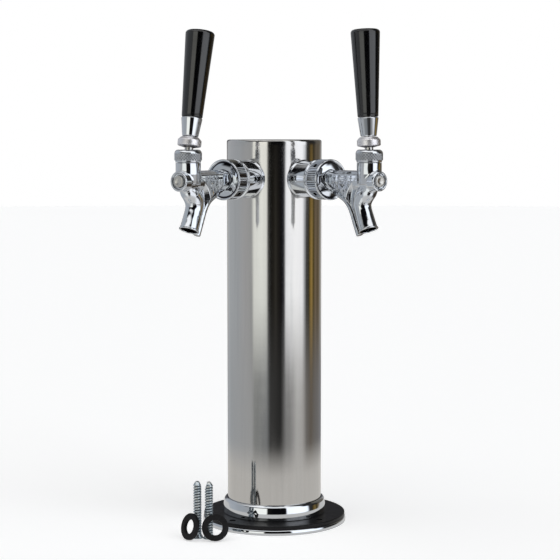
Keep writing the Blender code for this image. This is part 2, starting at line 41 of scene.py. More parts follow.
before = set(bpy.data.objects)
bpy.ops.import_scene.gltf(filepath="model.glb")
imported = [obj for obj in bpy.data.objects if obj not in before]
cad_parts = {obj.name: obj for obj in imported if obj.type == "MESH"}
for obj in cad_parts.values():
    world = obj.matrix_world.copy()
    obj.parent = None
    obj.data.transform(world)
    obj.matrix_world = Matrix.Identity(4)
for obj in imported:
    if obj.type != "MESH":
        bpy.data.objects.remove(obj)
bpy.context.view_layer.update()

# Places, from the frame

column_low, column_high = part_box("column_tube")
cap_low, cap_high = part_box("top_cap")
AXIS_Y = (column_low.y + column_high.y) / 2
COLUMN_RADIUS = (column_high.x - column_low.x) / 2 / MM
TOWER_HEIGHT = cap_high.z / MM
SHAFT_HEIGHT = 279.2
TAP_ANGLE = 36.2
LEVER_LEAN = {"left": 9.7, "right": 3.2}
NECK_X = 114.7
PIVOT_Z = 18.0

# Sizes in millimetres, as in the CAD

WALL = 1.2
CLEARANCE = 0.3
COLUMN_FOOT = 4.5
COLUMN_TOP = 305.27
CAP_SEAM = 305.3
CAP_SKIRT = 297.0
CAP_TOP_WALL = 1.5
FLANGE_BORE = 33.0
FLANGE_RADIUS = 58.3
FLANGE_TOP = 4.2
COVER_RADIUS = 57.5
COVER_TOP = 7.3
SCREW_COUNT = 4
SCREW_CIRCLE_RADIUS = 49.0
SCREW_HOLE_RADIUS = 2.6
SHANK_RADIUS = 11.1
SHANK_HOLE_RADIUS = 11.4
SLEEVE_RADIUS = 14.3
SLEEVE_FACE = 54.9
NUT_RADIUS = 15.8
SPANNER_HOLE_X = 64.5
SPANNER_HOLE_RADIUS = 1.7
BARREL_RADIUS = 7.6
BODY_REAR = 65.7
BOSS_FACE = 127.1
BOSS_ROUND = 1.1
CELL = 0.42
BALL_RADIUS = 5.2
LOOSE_SCREW_RADIUS = 3.2
LOOSE_SCREW_LENGTH = 45.0
LOOSE_SCREW_PITCH = 2.1
FULL_STEPS = 192

TOWER = Matrix.Translation((0, AXIS_Y, 0))
TURN = {"left": -90 - TAP_ANGLE, "right": -90 + TAP_ANGLE}
ALONG_X = Matrix.Rotation(math.radians(90), 4, "Y")


def turned(degrees, axis):
    return Matrix.Rotation(math.radians(degrees), 4, axis)


def tap_frame(side):
    return TOWER @ Matrix.Translation((0, 0, SHAFT_HEIGHT * MM)) @ turned(TURN[side], "Z")


def neck_frame(side):
    return tap_frame(side) @ Matrix.Translation((NECK_X * MM, 0, 0))


def lever_frame(side):
    return neck_frame(side) @ Matrix.Translation((0, 0, PIVOT_Z * MM)) @ turned(-LEVER_LEAN[side], "Y")


# Meshes

def rounded(points, closed):
    """(radius, height) points, each corner with a third number rounded by that many millimetres."""
    made = []
    count = len(points)
    for i, point in enumerate(points):
        at = np.array(point[:2], float)
        if len(point) < 3 or (not closed and i in (0, count - 1)):
            made.append(tuple(at))
            continue
        before = np.array(points[i - 1][:2], float) - at
        after = np.array(points[(i + 1) % count][:2], float) - at
        back = np.linalg.norm(before)
        on = np.linalg.norm(after)
        reach = min(point[2], 0.45 * back, 0.45 * on)
        start = at + before / back * reach
        end = at + after / on * reach
        for k in range(5):
            t = k / 4
            made.append(tuple((1 - t) ** 2 * start + 2 * t * (1 - t) * at + t * t * end))
    return made


def lathe(points, steps, shape=None):
    """(verts, faces) turned about Z. An outline that starts on the axis ends on it; another is a closed ring."""
    closed = points[0][0] > 0
    outline = rounded(points, closed)
    angles = np.arange(steps) * 2 * math.pi / steps
    rows = []
    for r, z in outline:
        reach = np.full(steps, r) if shape is None or r < 1e-6 else shape(r, angles, z)
        rows.append(np.stack([reach * np.cos(angles), reach * np.sin(angles), np.full(steps, z)], 1))
    verts = np.concatenate(rows)
    count = len(outline)
    low = np.arange(count if closed else count - 1)
    high = (low + 1) % count
    k = np.arange(steps)
    n = (k + 1) % steps
    low_row = low[:, None] * steps
    high_row = high[:, None] * steps
    quads = np.stack([low_row + k, low_row + n, high_row + n, high_row + k], 2)
    return verts, quads.reshape(-1, 4)


def mesh_of(name, verts, faces):
    """A mesh of metres from points in millimetres, with coincident points joined and its faces turned outward."""
    mesh = bpy.data.meshes.new(name)
    mesh.from_pydata((np.asarray(verts) * MM).tolist(), [], [list(map(int, face)) for face in faces])
    bm = bmesh.new()
    bm.from_mesh(mesh)
    bmesh.ops.remove_doubles(bm, verts=bm.verts, dist=1e-8)
    if bm.calc_volume(signed=True) < 0:
        bmesh.ops.reverse_faces(bm, faces=bm.faces)
    bm.to_mesh(mesh)
    bm.free()
    return mesh


def smooth(mesh, angle=38):
    mesh.polygons.foreach_set("use_smooth", [True] * len(mesh.polygons))
    mesh.set_sharp_from_angle(angle=math.radians(angle))


def settle(mesh, place):
    """Moves the mesh to its place, and keeps the points' own coordinates for the material."""
    own = np.empty(len(mesh.vertices) * 3, np.float32)
    mesh.vertices.foreach_get("co", own)
    mesh.attributes.new("own", "FLOAT_VECTOR", "POINT").data.foreach_set("vector", own)
    mesh.transform(place)


def new_object(name, data):
    obj = bpy.data.objects.new(name, data)
    bpy.context.scene.collection.objects.link(obj)
    return obj


def add_piece(name, mesh, finish, place, body, slot, node, weighted=True, angle=38):
    smooth(mesh, angle)
    settle(mesh, place)
    obj = new_object(name, mesh)
    mesh.materials.clear()
    mesh.materials.append(finish)
    if weighted:
        modifier = obj.modifiers.new("even_normals", "WEIGHTED_NORMAL")
        modifier.keep_sharp = True
        modifier.weight = 80
    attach(obj, body)
    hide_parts(node)
    return obj


def cut(mesh, tools):
    """The mesh with shapes cut out of it: each tool is (mesh, matrix in metres)."""
    host = new_object("cut_host", mesh)
    bits = []
    for tool, place in tools:
        bit = new_object("cut_bit", tool)
        bit.matrix_world = place
        modifier = host.modifiers.new("cut", "BOOLEAN")
        modifier.operation = "DIFFERENCE"
        modifier.solver = "EXACT"
        modifier.object = bit
        bits.append(bit)
    bpy.context.view_layer.update()
    graph = bpy.context.evaluated_depsgraph_get()
    made = bpy.data.meshes.new_from_object(host.evaluated_get(graph))
    for obj in [host, *bits]:
        bpy.data.objects.remove(obj)
    return made


def drilled(mesh, holes):
    """The mesh with round holes cut: each hole is (matrix in metres, radius, low, high)."""
    tools = []
    for place, radius, low, high in holes:
        verts, faces = lathe([(0, low), (radius, low), (radius, high), (0, high)], 32)
        tools.append((mesh_of("drill_bit", verts, faces), place))
    return cut(mesh, tools)


# Materials

class Finish:
    """A Principled material and short ways to add nodes to it, in the piece's own coordinates in metres."""

    def __init__(self, name, colour, roughness, metallic=0.0, **sockets):
        self.material = bpy.data.materials.new(name)
        self.material.use_nodes = True
        self.tree = self.material.node_tree
        self.shader = self.tree.nodes["Principled BSDF"]
        self.shader.inputs["Base Color"].default_value = (*colour, 1)
        self.shader.inputs["Roughness"].default_value = roughness
        self.shader.inputs["Metallic"].default_value = metallic
        for key, value in sockets.items():
            self.shader.inputs[key.replace("_", " ")].default_value = value
        self.place = self.node("ShaderNodeAttribute", attribute_name="own").outputs["Vector"]
        self.normal = None

    def node(self, kind, **settings):
        made = self.tree.nodes.new(kind)
        for key, value in settings.items():
            setattr(made, key, value)
        return made

    def link(self, output, node_input):
        self.tree.links.new(output, node_input)

    def stretched(self, scale):
        made = self.node("ShaderNodeMapping")
        made.inputs["Scale"].default_value = scale
        self.link(self.place, made.inputs["Vector"])
        return made.outputs["Vector"]

    def noise(self, scale, detail=3.0, roughness=0.5, stretch=(1, 1, 1)):
        made = self.node("ShaderNodeTexNoise")
        made.inputs["Scale"].default_value = scale
        made.inputs["Detail"].default_value = detail
        made.inputs["Roughness"].default_value = roughness
        self.link(self.stretched(stretch), made.inputs["Vector"])
        return made.outputs["Fac"]

    def outside_grooves(self, bottom, crest, low, high):
        """0 at the bottom of the grooves of a turned band and 1 on its crests and off the band, in millimetres: the
        mask that paints shade into the grooves.
        """
        flat = self.node("ShaderNodeVectorMath", operation="MULTIPLY")
        flat.inputs[1].default_value = (1, 1, 0)
        self.link(self.place, flat.inputs[0])
        reach = self.node("ShaderNodeVectorMath", operation="LENGTH")
        self.link(flat.outputs[0], reach.inputs[0])
        height = self.node("ShaderNodeSeparateXYZ")
        self.link(self.place, height.inputs[0])
        crests = self.ranged(reach.outputs["Value"], bottom * MM, crest * MM, 0.0, 1.0)
        under = self.ranged(height.outputs["Z"], (low - 0.2) * MM, low * MM, 1.0, 0.0)
        over = self.ranged(height.outputs["Z"], high * MM, (high + 0.2) * MM, 0.0, 1.0)
        return self.combined("MAXIMUM", crests, self.combined("MAXIMUM", under, over))

    def ranged(self, value, low, high, to_low, to_high):
        made = self.node("ShaderNodeMapRange")
        for key, number in (("From Min", low), ("From Max", high), ("To Min", to_low), ("To Max", to_high)):
            made.inputs[key].default_value = number
        self.link(value, made.inputs["Value"])
        return made.outputs["Result"]

    def combined(self, operation, first, second):
        made = self.node("ShaderNodeMath", operation=operation)
        for value, socket in ((first, made.inputs[0]), (second, made.inputs[1])):
            if isinstance(value, (int, float)):
                socket.default_value = value
            else:
                self.link(value, socket)
        return made.outputs[0]

    def colours(self, value, stops):
        made = self.node("ShaderNodeValToRGB")
        fill_ramp(made.color_ramp, stops)
        self.link(value, made.inputs["Fac"])
        self.link(made.outputs["Color"], self.shader.inputs["Base Color"])

    def roughness(self, value, more=None):
        """The roughness, or the sum of two parts of it."""
        if more is not None:
            value = self.combined("ADD", value, more)
        self.link(value, self.shader.inputs["Roughness"])

    def bump(self, height, strength, distance):
        made = self.node("ShaderNodeBump")
        made.inputs["Strength"].default_value = strength
        made.inputs["Distance"].default_value = distance
        self.link(height, made.inputs["Height"])
        if self.normal is not None:
            self.link(self.normal, made.inputs["Normal"])
        self.normal = made.outputs["Normal"]
        self.link(self.normal, self.shader.inputs["Normal"])


def fill_ramp(ramp, stops):
    """stops: (position, (r, g, b)), in order."""
    while len(ramp.elements) > 1:
        ramp.elements.remove(ramp.elements[-1])
    for i, (position, colour) in enumerate(stops):
        element = ramp.elements[0] if i == 0 else ramp.elements.new(position)
        element.position = position
        element.color = (*colour, 1)


def polished_steel():
    """Tube steel buffed to a mirror, with fine rings of grinding and faint hand marks."""
    made = Finish("polished_stainless", (0.62, 0.61, 0.59), 0.1, 1.0)
    rings = made.noise(900, 2, 0.6, (0.06, 0.06, 3.0))
    streaks = made.noise(120, 3, 0.6, (1.6, 1.6, 0.05))
    smears = made.noise(22, 4, 0.6)
    worn = made.combined("ADD", made.ranged(smears, 0.35, 0.75, 0.0, 0.05), made.ranged(rings, 0.3, 0.7, 0, 0.04))
    made.roughness(worn, made.ranged(streaks, 0.35, 0.7, 0.05, 0.09))
    made.colours(streaks, [(0.3, (0.60, 0.59, 0.575)), (0.55, (0.63, 0.62, 0.605)), (0.8, (0.585, 0.58, 0.57))])
    made.bump(rings, 0.10, 0.00002)
    made.bump(streaks, 0.12, 0.0001)
    return made.material


def chrome(name, wave, wave_depth, stretch=(1, 1, 1), grooves=None, rough=0.0):
    """Bright plating. wave is the spacing of the cast or turned surface under it, in 1/m. With grooves given, shade is
    painted near black into the bottom of the turned band's grooves.
    """
    made = Finish(name, (0.70, 0.71, 0.73), 0.05, 1.0)
    ripple = made.noise(wave, 2, 0.5, stretch)
    dust = made.noise(2600, 2, 0.7)
    smears = made.noise(70, 4, 0.65)
    worn = made.combined("ADD", made.ranged(smears, 0.45, 0.75, 0.02, 0.07), made.ranged(dust, 0.6, 0.8, 0, 0.05))
    made.roughness(worn, rough)
    tone = [(0.3, (0.70, 0.73, 0.77)), (0.6, (0.68, 0.70, 0.73)), (0.85, (0.62, 0.64, 0.66))]
    if grooves is None:
        made.colours(smears, tone)
    else:
        # Painted shade: the bottoms of the grooves get a near-black colour, and the crests keep the plating's tone.
        tone_and_painted_groove_shade = made.combined("MULTIPLY", smears, made.outside_grooves(*grooves))
        made.colours(tone_and_painted_groove_shade, [(0.0, (0.03, 0.03, 0.035)), (0.2, (0.22, 0.23, 0.25)), *tone])
    made.bump(ripple, 1.0, wave_depth)
    return made.material


def satin_plate():
    """Nickel plate on a file-finished collar: pale, rather dull and a little warm."""
    made = Finish("satin_nickel", (0.95, 0.93, 0.94), 0.4, 1.0)
    lines = made.noise(1100, 3, 0.6, (0.1, 0.1, 2.0))
    patches = made.noise(210, 3, 0.6)
    made.roughness(made.ranged(lines, 0.3, 0.7, 0.34, 0.44), made.ranged(patches, 0.4, 0.7, 0, 0.08))
    made.colours(patches, [(0.3, (0.97, 0.95, 0.96)), (0.55, (0.94, 0.92, 0.94)), (0.75, (0.80, 0.78, 0.81))])
    made.bump(lines, 0.5, 0.00006)
    return made.material


def brushed_steel():
    made = Finish("turned_stainless", (0.55, 0.54, 0.52), 0.26, 1.0)
    rings = made.noise(1500, 3, 0.65, (0.2, 0.2, 2.5))
    patches = made.noise(160, 3, 0.6)
    made.roughness(made.ranged(rings, 0.3, 0.7, 0.12, 0.24), made.ranged(patches, 0.4, 0.7, 0, 0.08))
    made.colours(rings, [(0.3, (0.50, 0.49, 0.47)), (0.7, (0.58, 0.57, 0.55))])
    made.bump(rings, 0.3, 0.00004)
    return made.material


def plated_brass(name, cool, pale, warm):
    """Turned brass under a worn, thin nickel wash: pale and slightly warm."""
    made = Finish(name, pale, 0.3, 1.0)
    rings = made.noise(1300, 3, 0.6, (0.3, 0.3, 2.2))
    stains = made.noise(240, 4, 0.6)
    made.roughness(made.ranged(rings, 0.3, 0.7, 0.24, 0.38), made.ranged(stains, 0.4, 0.7, 0, 0.12))
    made.colours(stains, [(0.32, cool), (0.55, pale), (0.72, warm)])
    made.bump(rings, 0.35, 0.00005)
    return made.material


def zinc():
    """Blue-passivated zinc, with the grainy spangle of a barrel-plated screw, and shade painted dark into the roots of
    its thread.
    """
    made = Finish("blue_zinc", (0.54, 0.60, 0.64), 0.3, 1.0)
    grain = made.noise(1900, 3, 0.7)
    tint = made.noise(190, 3, 0.5)
    made.roughness(made.ranged(grain, 0.3, 0.75, 0.2, 0.46))
    # Painted shade: the roots of the thread get a dark blue-grey colour, and the crests keep the plating's tone.
    tone_and_painted_groove_shade = made.combined("MULTIPLY", tint, made.outside_grooves(2.3, 3.0, 4.8, 42.8))
    made.colours(tone_and_painted_groove_shade, [(0.0, (0.10, 0.12, 0.14)), (0.22, (0.28, 0.33, 0.37)), (0.34, (0.42, 0.50, 0.56)),
                         (0.5, (0.54, 0.60, 0.64)), (0.7, (0.62, 0.63, 0.60))])
    made.bump(grain, 0.4, 0.00005)
    return made.material


def enamel():
    """Semi-gloss black moulding with a fine leathery spark texture and dust in it."""
    made = Finish("black_cover", (0.013, 0.013, 0.014), 0.36, 0.0, Specular_IOR_Level=0.16)
    grain = made.noise(1500, 2, 0.6)
    dust = made.noise(95, 5, 0.7)
    made.roughness(made.ranged(dust, 0.4, 0.75, 0.34, 0.46), made.ranged(grain, 0.4, 0.7, 0, 0.05))
    made.colours(dust, [(0.35, (0.008, 0.008, 0.009)), (0.6, (0.012, 0.012, 0.013)), (0.82, (0.022, 0.022, 0.023))])
    made.bump(grain, 0.15, 0.00003)
    return made.material


def phenolic():
    """Gloss black moulded grip, with flow lines and light handling marks."""
    made = Finish("black_plastic", (0.002, 0.002, 0.0025), 0.14, 0.0, Specular_IOR_Level=0.8)
    flow = made.noise(60, 3, 0.5, (2.2, 2.2, 0.25))
    prints = made.noise(130, 5, 0.65)
    made.roughness(made.ranged(prints, 0.45, 0.75, 0.10, 0.20), made.ranged(flow, 0.4, 0.7, 0, 0.04))
    made.colours(flow, [(0.3, (0.0014, 0.0014, 0.0018)), (0.7, (0.003, 0.003, 0.0035))])
    made.bump(flow, 0.15, 0.00005)
    return made.material


def rubber():
    """Matte black moulded rubber with a bloom of grey in its pores."""
    made = Finish("black_rubber", (0.008, 0.008, 0.008), 0.62, 0.0, Specular_IOR_Level=0.22)
    pores = made.noise(2200, 3, 0.7)
    bloom = made.noise(170, 4, 0.6)
    made.roughness(made.ranged(bloom, 0.35, 0.75, 0.52, 0.74))
    made.colours(bloom, [(0.35, (0.004, 0.004, 0.004)), (0.6, (0.008, 0.008, 0.009)), (0.8, (0.018, 0.018, 0.019))])
    made.bump(pores, 0.5, 0.00006)
    return made.material


def nylon():
    made = Finish("white_nylon", (0.80, 0.79, 0.75), 0.48, 0.0)
    cloud = made.noise(300, 3, 0.5)
    made.roughness(made.ranged(cloud, 0.3, 0.7, 0.42, 0.56))
    made.colours(cloud, [(0.3, (0.78, 0.77, 0.72)), (0.7, (0.83, 0.82, 0.79))])
    made.bump(cloud, 0.2, 0.00005)
    return made.material


FINISH = {
    "polished_stainless": polished_steel(),
    "chrome": chrome("chrome", 180, 0.00001),
    "cast_chrome": chrome("chrome_on_casting", 120, 0.0007, (1.0, 1.0, 0.3)),
    # The bonnet's and the nut's chrome have shade painted into their grooves.
    "bonnet_chrome": chrome("chrome_on_bonnet", 180, 0.00002, grooves=(9.95, 10.22, 15.7, 20.8), rough=0.12),
    "nut_chrome": chrome("chrome_on_nut", 180, 0.00003, grooves=(15.12, 15.58, 59.1, 69.4)),
    "satin_plate": satin_plate(),
    "stainless": brushed_steel(),
    "brass": plated_brass("washed_brass", (0.60, 0.55, 0.44), (0.64, 0.57, 0.43), (0.52, 0.44, 0.29)),
    "shaft_end": plated_brass("worn_shaft", (0.60, 0.59, 0.56), (0.66, 0.64, 0.60), (0.48, 0.46, 0.42)),
    "zinc_plate": zinc(),
    "black_cover": enamel(),
    "black_plastic": phenolic(),
    "rubber": rubber(),
    "white_nylon": nylon(),
}


def turned_piece(name, points, steps, slot, place, body, shape=None, finish=None, **look):
    """A lathe-turned piece that stands for the CAD node of the same name."""
    verts, faces = lathe(points, steps, shape)
    mesh = mesh_of(name, verts, faces)
    return add_piece(name + "_skin", mesh, FINISH[finish or slot], place, body, slot, name, **look)


# Tower

def screw_holes():
    """The flange's holes, the first at 45 degrees, each past both faces of the flange and its cover."""
    for i in range(SCREW_COUNT):
        angle = math.radians(45 + 90 * i)
        across = SCREW_CIRCLE_RADIUS * math.cos(angle) * MM
        back = SCREW_CIRCLE_RADIUS * math.sin(angle) * MM
        yield Matrix.Translation((across, back, 0)), SCREW_HOLE_RADIUS, -3, 12


def build_tower():
    inner = COLUMN_RADIUS - WALL
    points = [(inner, COLUMN_FOOT), (COLUMN_RADIUS, COLUMN_FOOT), (COLUMN_RADIUS, COLUMN_TOP), (inner, COLUMN_TOP)]
    verts, faces = lathe(points, FULL_STEPS)
    holes = []
    for side in SIDES:
        across = Matrix.Translation((0, 0, SHAFT_HEIGHT * MM)) @ turned(TURN[side], "Z") @ ALONG_X
        holes.append((across, SHANK_HOLE_RADIUS, 20, 60))
    column = drilled(mesh_of("column_tube", verts, faces), holes)
    steel = "polished_stainless"
    add_piece("column_tube_skin", column, FINISH[steel], TOWER, "tower", steel, "column_tube")

    plug = inner - CLEARANCE
    hollow = plug - WALL
    ceiling = TOWER_HEIGHT - CAP_TOP_WALL
    points = [(0, TOWER_HEIGHT), (COLUMN_RADIUS, TOWER_HEIGHT, 3.9), (COLUMN_RADIUS, CAP_SEAM), (plug, CAP_SEAM)]
    points += [(plug, CAP_SKIRT), (hollow, CAP_SKIRT), (hollow, ceiling), (0, ceiling)]
    turned_piece("top_cap", points, FULL_STEPS, steel, TOWER, "tower")

    points = [(FLANGE_BORE, 0), (FLANGE_RADIUS, 0, 0.5), (FLANGE_RADIUS, 2.1, 1.2), (57.7, FLANGE_TOP, 0.9)]
    points += [(plug, FLANGE_TOP), (plug, 16, 0.3), (FLANGE_BORE, 16, 0.3)]
    verts, faces = lathe(points, FULL_STEPS)
    flange = drilled(mesh_of("base_flange", verts, faces), screw_holes())
    add_piece("base_flange_skin", flange, FINISH["chrome"], TOWER, "tower", "chrome", "base_flange")

    bore = COLUMN_RADIUS + CLEARANCE
    points = [(bore, COLUMN_FOOT), (COVER_RADIUS, COLUMN_FOOT, 0.2), (COVER_RADIUS, COVER_TOP, 0.9), (bore, COVER_TOP)]
    verts, faces = lathe(points, FULL_STEPS)
    cover = drilled(mesh_of("base_cover_ring", verts, faces), screw_holes())
    black = "black_cover"
    add_piece("base_cover_ring_skin", cover, FINISH[black], TOWER, "tower", black, "base_cover_ring")

    points = [(bore, 7.6), (41.8, 7.6, 0.2), (41.65, 13.2, 0.8), (40.75, 18.3, 1.2)]
    points += [(39.3, 19.6, 0.4), (bore, 19.6, 0.1)]
    turned_piece("foot_collar", points, FULL_STEPS, "chrome", TOWER, "tower")


# Shank and coupling

NUT_RIDGES = 66


def nut_ridges(r, angles, x):
    if not (59.2 < x < 69.3 and r > 15.3):
        return np.full(len(angles), r)
    wave = np.abs(((angles * NUT_RIDGES / (2 * math.pi)) % 1.0) - 0.5) * 2
    return r - 0.5 * np.clip(1.25 * wave - 0.1, 0, 1)


def saddle_sleeve(name):
    """A sleeve round the shank whose inner end fits the column, with a thin weld bead there."""
    steps = 96
    reach = COLUMN_RADIUS + CLEARANCE
    rows = [(SHANK_HOLE_RADIUS, None), (15.1, None), (14.9, 0.5), (SLEEVE_RADIUS, 1.2), (SLEEVE_RADIUS, 2.0)]
    rows += [(SLEEVE_RADIUS, 54.2), (14.1, 54.7), (13.6, SLEEVE_FACE), (SHANK_HOLE_RADIUS, SLEEVE_FACE)]
    verts = []
    for radius, x in rows:
        for k in range(steps):
            angle = 2 * math.pi * k / steps
            y = radius * math.sin(angle)
            z = radius * math.cos(angle)
            if x is None:
                along = math.sqrt(reach**2 - y * y)
            elif x < 3:
                along = math.sqrt(reach**2 - y * y) + x
            else:
                along = x
            verts.append((along, y, z))
    faces = []
    for i in range(len(rows)):
        n = (i + 1) % len(rows)
        for k in range(steps):
            m = (k + 1) % steps
            faces.append([i * steps + k, i * steps + m, n * steps + m, n * steps + k])
    return mesh_of(name, verts, faces)


def build_shank(side):
    tap = tap_frame(side)
    axis = tap @ ALONG_X
    name = f"{side}_shank_sleeve"
    add_piece(name + "_skin", saddle_sleeve(name), FINISH["chrome"], tap, "tower", "chrome", name)

    thread = [(SHANK_RADIUS, 16.2 + 0.35 * i) for i in range(100)]
    points = [(0, 16), (10.4, 16, 0.3), *thread, (SHANK_RADIUS, 55.3), (13.8, 55.3, 0.3), (13.8, 64.7, 0.4)]
    points += [(8.2, 64.7), (8.2, 51), (4, 49), (4, 20), (0, 20)]
    shape = screw_thread(SHANK_RADIUS, 0.45, 1.4, 16.3, 50.8)
    turned_piece(f"{side}_shank", points, 64, "brass", axis, "tower", shape)

    points = [(2.6, -3.4), (2.6, -40), (3.4, -40, 0.2)]
    for i in range(3):
        points += [(4.8, -38.5 + 5 * i, 0.2), (4.0, -35.0 + 5 * i)]
    points += [(4.0, -3.4)]
    stem = tap @ Matrix.Translation((22.0 * MM, 0, 0))
    turned_piece(f"{side}_tail_stem", points, 48, "stainless", stem, "tower")

    points = [(11.4, 27.3, 0.4), (16.2, 27.3, 1.0), (16.2, 32.8, 1.0), (11.4, 32.8, 0.4)]
    turned_piece(f"{side}_shank_locknut", points, 96, "brass", axis, "tower", hexagon(28))

    points = [(14.1, 55.2), (NUT_RADIUS, 55.2, 0.5), (NUT_RADIUS, 56.8, 0.5), (14.8, 57.2, 0.3), (14.8, 58.7, 0.3)]
    points += [(15.6, 59.0, 0.15)] + [(15.6, 59.3 + 0.41 * i) for i in range(25)]
    points += [(NUT_RADIUS, 69.5, 0.2), (NUT_RADIUS, 70.4, 0.35), (15.3, 70.9, 0.3), (14.5, 70.6, 0.3)]
    points += [(13.8, 69.2, 0.4), (12.6, 69.55, 0.8), (11.0, 69.95, 0.8), (9.4, 70.25, 0.8)]
    points += [(8.0, 70.4, 0.2), (8.0, 68.5), (14.1, 68.5)]
    name = f"{side}_coupling_nut"
    verts, faces = lathe(points, NUT_RIDGES * 6, nut_ridges)
    level = Matrix.Translation((0, 0, SPANNER_HOLE_X * MM))
    place = [level @ turned(45 + 90 * i, "Z") @ turned(90, "Y") for i in range(4)]
    nut = drilled(mesh_of(name, verts, faces), [(at, SPANNER_HOLE_RADIUS, 10, 20) for at in place])
    add_piece(name + "_skin", nut, FINISH["nut_chrome"], axis, "tower", "chrome", name, weighted=False, angle=30)

    points = [(8.2, 65.0, 0.2), (13.0, 65.0, 0.2), (13.0, 66.3, 0.2), (8.2, 66.3, 0.2)]
    turned_piece(f"{side}_coupling_washer", points, 64, "rubber", axis, "tower")


def screw_thread(radius, depth, pitch, low, high):
    def shape(r, angles, z):
        if not low < z < high or abs(r - radius) > 0.01:
            return np.full(len(angles), r)
        phase = (z / pitch - angles / (2 * math.pi)) % 1.0
        fade = min(1.0, (z - low) / pitch, (high - z) / pitch)
        return r - depth * fade * np.abs(phase - 0.5) * 2
    return shape


def hexagon(across_flats):
    def shape(r, angles, z):
        corner = (angles + math.pi / 6) % (math.pi / 3) - math.pi / 6
        flat = across_flats / 2 / np.cos(corner)
        return np.where(r > across_flats * 0.42, np.minimum(flat, r), r)
    return shape


# Tap body: a blend of round and flat forms, meshed on a grid
# Each line holds (x, z, radius) in the tap's frame.

SPOUT = [(115.4, -5.0, 6.6), (113.2, -7.6, 7.2), (110.2, -10.4, 7.4), (107.9, -13.8, 7.3), (107.0, -17.5, 7.0),
         (107.6, -21.4, 6.8), (109.4, -25.8, 6.8), (111.8, -31.6, 7.0), (115.8, -40.4, 7.3), (118.5, -46.2, 7.5)]
SPOUT_BORE = [(113.2, -7.6, 5.0), (110.2, -10.4, 5.4), (107.9, -13.8, 5.6), (107.0, -17.5, 5.6),
              (107.6, -21.4, 5.6), (109.4, -25.8, 5.8), (111.8, -31.6, 6.1), (117.5, -44.3, 6.6)]
SPINE = [(68.4, -5.6, 2.6), (71.9, -6.9, 2.6), (76.8, -8.9, 2.6), (81.6, -11.3, 2.6), (88.7, -14.9, 2.6),
         (93.1, -19.0, 2.6), (96.0, -23.6, 2.6), (98.1, -28.0, 2.6), (100.6, -33.6, 2.6), (105.2, -43.3, 2.6),
         (108.3, -49.6, 2.6)]
MOUTH = (114.2, -37.2)
MOUTH_TILT = math.radians(22.9)


def smooth_line(points, count):
    """A finer line through the points, by a Catmull-Rom spline."""
    given = np.array([points[0], *points, points[-1]], float)
    made = []
    for i in range(len(points) - 1):
        a, b, c, d = given[i : i + 4]
        for k in range(count):
            t = k / count
            made.append(0.5 * (
                2 * b + (c - a) * t + (2 * a - 5 * b + 4 * c - d) * t**2 + (3 * b - a - 3 * c + d) * t**3
            ))
    made.append(given[-1])
    return np.array(made)


def nearest_on(x, z, line):
    """(distance, radius) at the nearest place of a line with changing radius, in the plane y = 0."""
    shape = np.broadcast(x, z).shape
    best = np.full(shape, 1e9)
    radius = np.zeros(shape)
    for (ax, az, ar), (bx, bz, br) in zip(line, line[1:]):
        dx, dz = bx - ax, bz - az
        t = np.clip(((x - ax) * dx + (z - az) * dz) / (dx * dx + dz * dz), 0, 1)
        away = (x - ax - t * dx) ** 2 + (z - az - t * dz) ** 2
        near = away < best
        best = np.where(near, away, best)
        radius = np.where(near, ar + t * (br - ar), radius)
    return np.sqrt(best), radius


def polygon_distance(u, v, points):
    """Signed distance from a polygon in a plane, negative inside."""
    shape = np.broadcast(u, v).shape
    nearest = np.full(shape, 1e18)
    inside = np.zeros(shape, bool)
    for i, (bu, bv) in enumerate(points):
        au, av = points[i - 1]
        eu, ev = bu - au, bv - av
        t = np.clip(((u - au) * eu + (v - av) * ev) / (eu * eu + ev * ev), 0, 1)
        nearest = np.minimum(nearest, (u - au - t * eu) ** 2 + (v - av - t * ev) ** 2)
        if av != bv:
            inside = inside ^ (((av > v) != (bv > v)) & (u < (v - av) * eu / ev + au))
    return np.where(inside, -1, 1) * np.sqrt(nearest)


def merged(a, b, blend):
    """Smooth union of two distances."""
    h = np.clip(0.5 + 0.5 * (b - a) / blend, 0, 1)
    return b + (a - b) * h - blend * h * (1 - h)


def without(a, b, blend):
    return -merged(-a, b, blend)


def within(a, b, blend):
    return -merged(-a, -b, blend)


def slab(x, y, z, centre, size, tilt):
    """Distance from a box in the tap's plane, turned by tilt about Y."""
    dx, dz = x - centre[0], z - centre[1]
    u = dx * math.cos(tilt) - dz * math.sin(tilt)
    w = dx * math.sin(tilt) + dz * math.cos(tilt)
    return np.maximum(np.maximum(np.abs(u) - size[0] / 2, np.abs(w) - size[2] / 2), np.abs(y) - size[1] / 2)


def mirrored(points):
    """A half outline from the axis with its mirror image, so the distance near the axis is right."""
    return [*points, *[(-r, h) for r, h in reversed(points) if r > 0]]


spout_line = smooth_line(SPOUT, 5)
bore_line = smooth_line(SPOUT_BORE, 5)
spine_line = smooth_line(SPINE, 4)
WEB = [(72.4, 5.0), *[(p[0], p[1]) for p in SPINE[1:-1]], (109, -46), (111.5, -31.0), (107.3, -17.2), (110.3, 5.0)]
BARREL = mirrored([(0, BODY_REAR), (BARREL_RADIUS, BODY_REAR), (BARREL_RADIUS, BOSS_FACE), (0, BOSS_FACE)])
REAR_RIM = mirrored([(0, 66.6), (13.0, 66.6), (13.0, 68.2), (0, 68.2)])
NECK = mirrored([(0, -2), (8.6, -2), (9.4, 5), (9.4, 13.7), (0, 13.7)])
SPIGOT = mirrored([(0, 10), (7.7, 10), (7.7, 17.5), (0, 17.5)])
BORE = mirrored([(0, 50), (5.2, 50), (5.2, 122.0), (4.6, 122.0),
                 (4.6, 125.1), (6.05, 125.1), (6.05, 132), (0, 132)])
SOCKET = mirrored([(0, -1), (6.3, -1), (6.3, 4), (3.7, 13.9), (5.7, 14.6), (5.7, 20), (0, 20)])


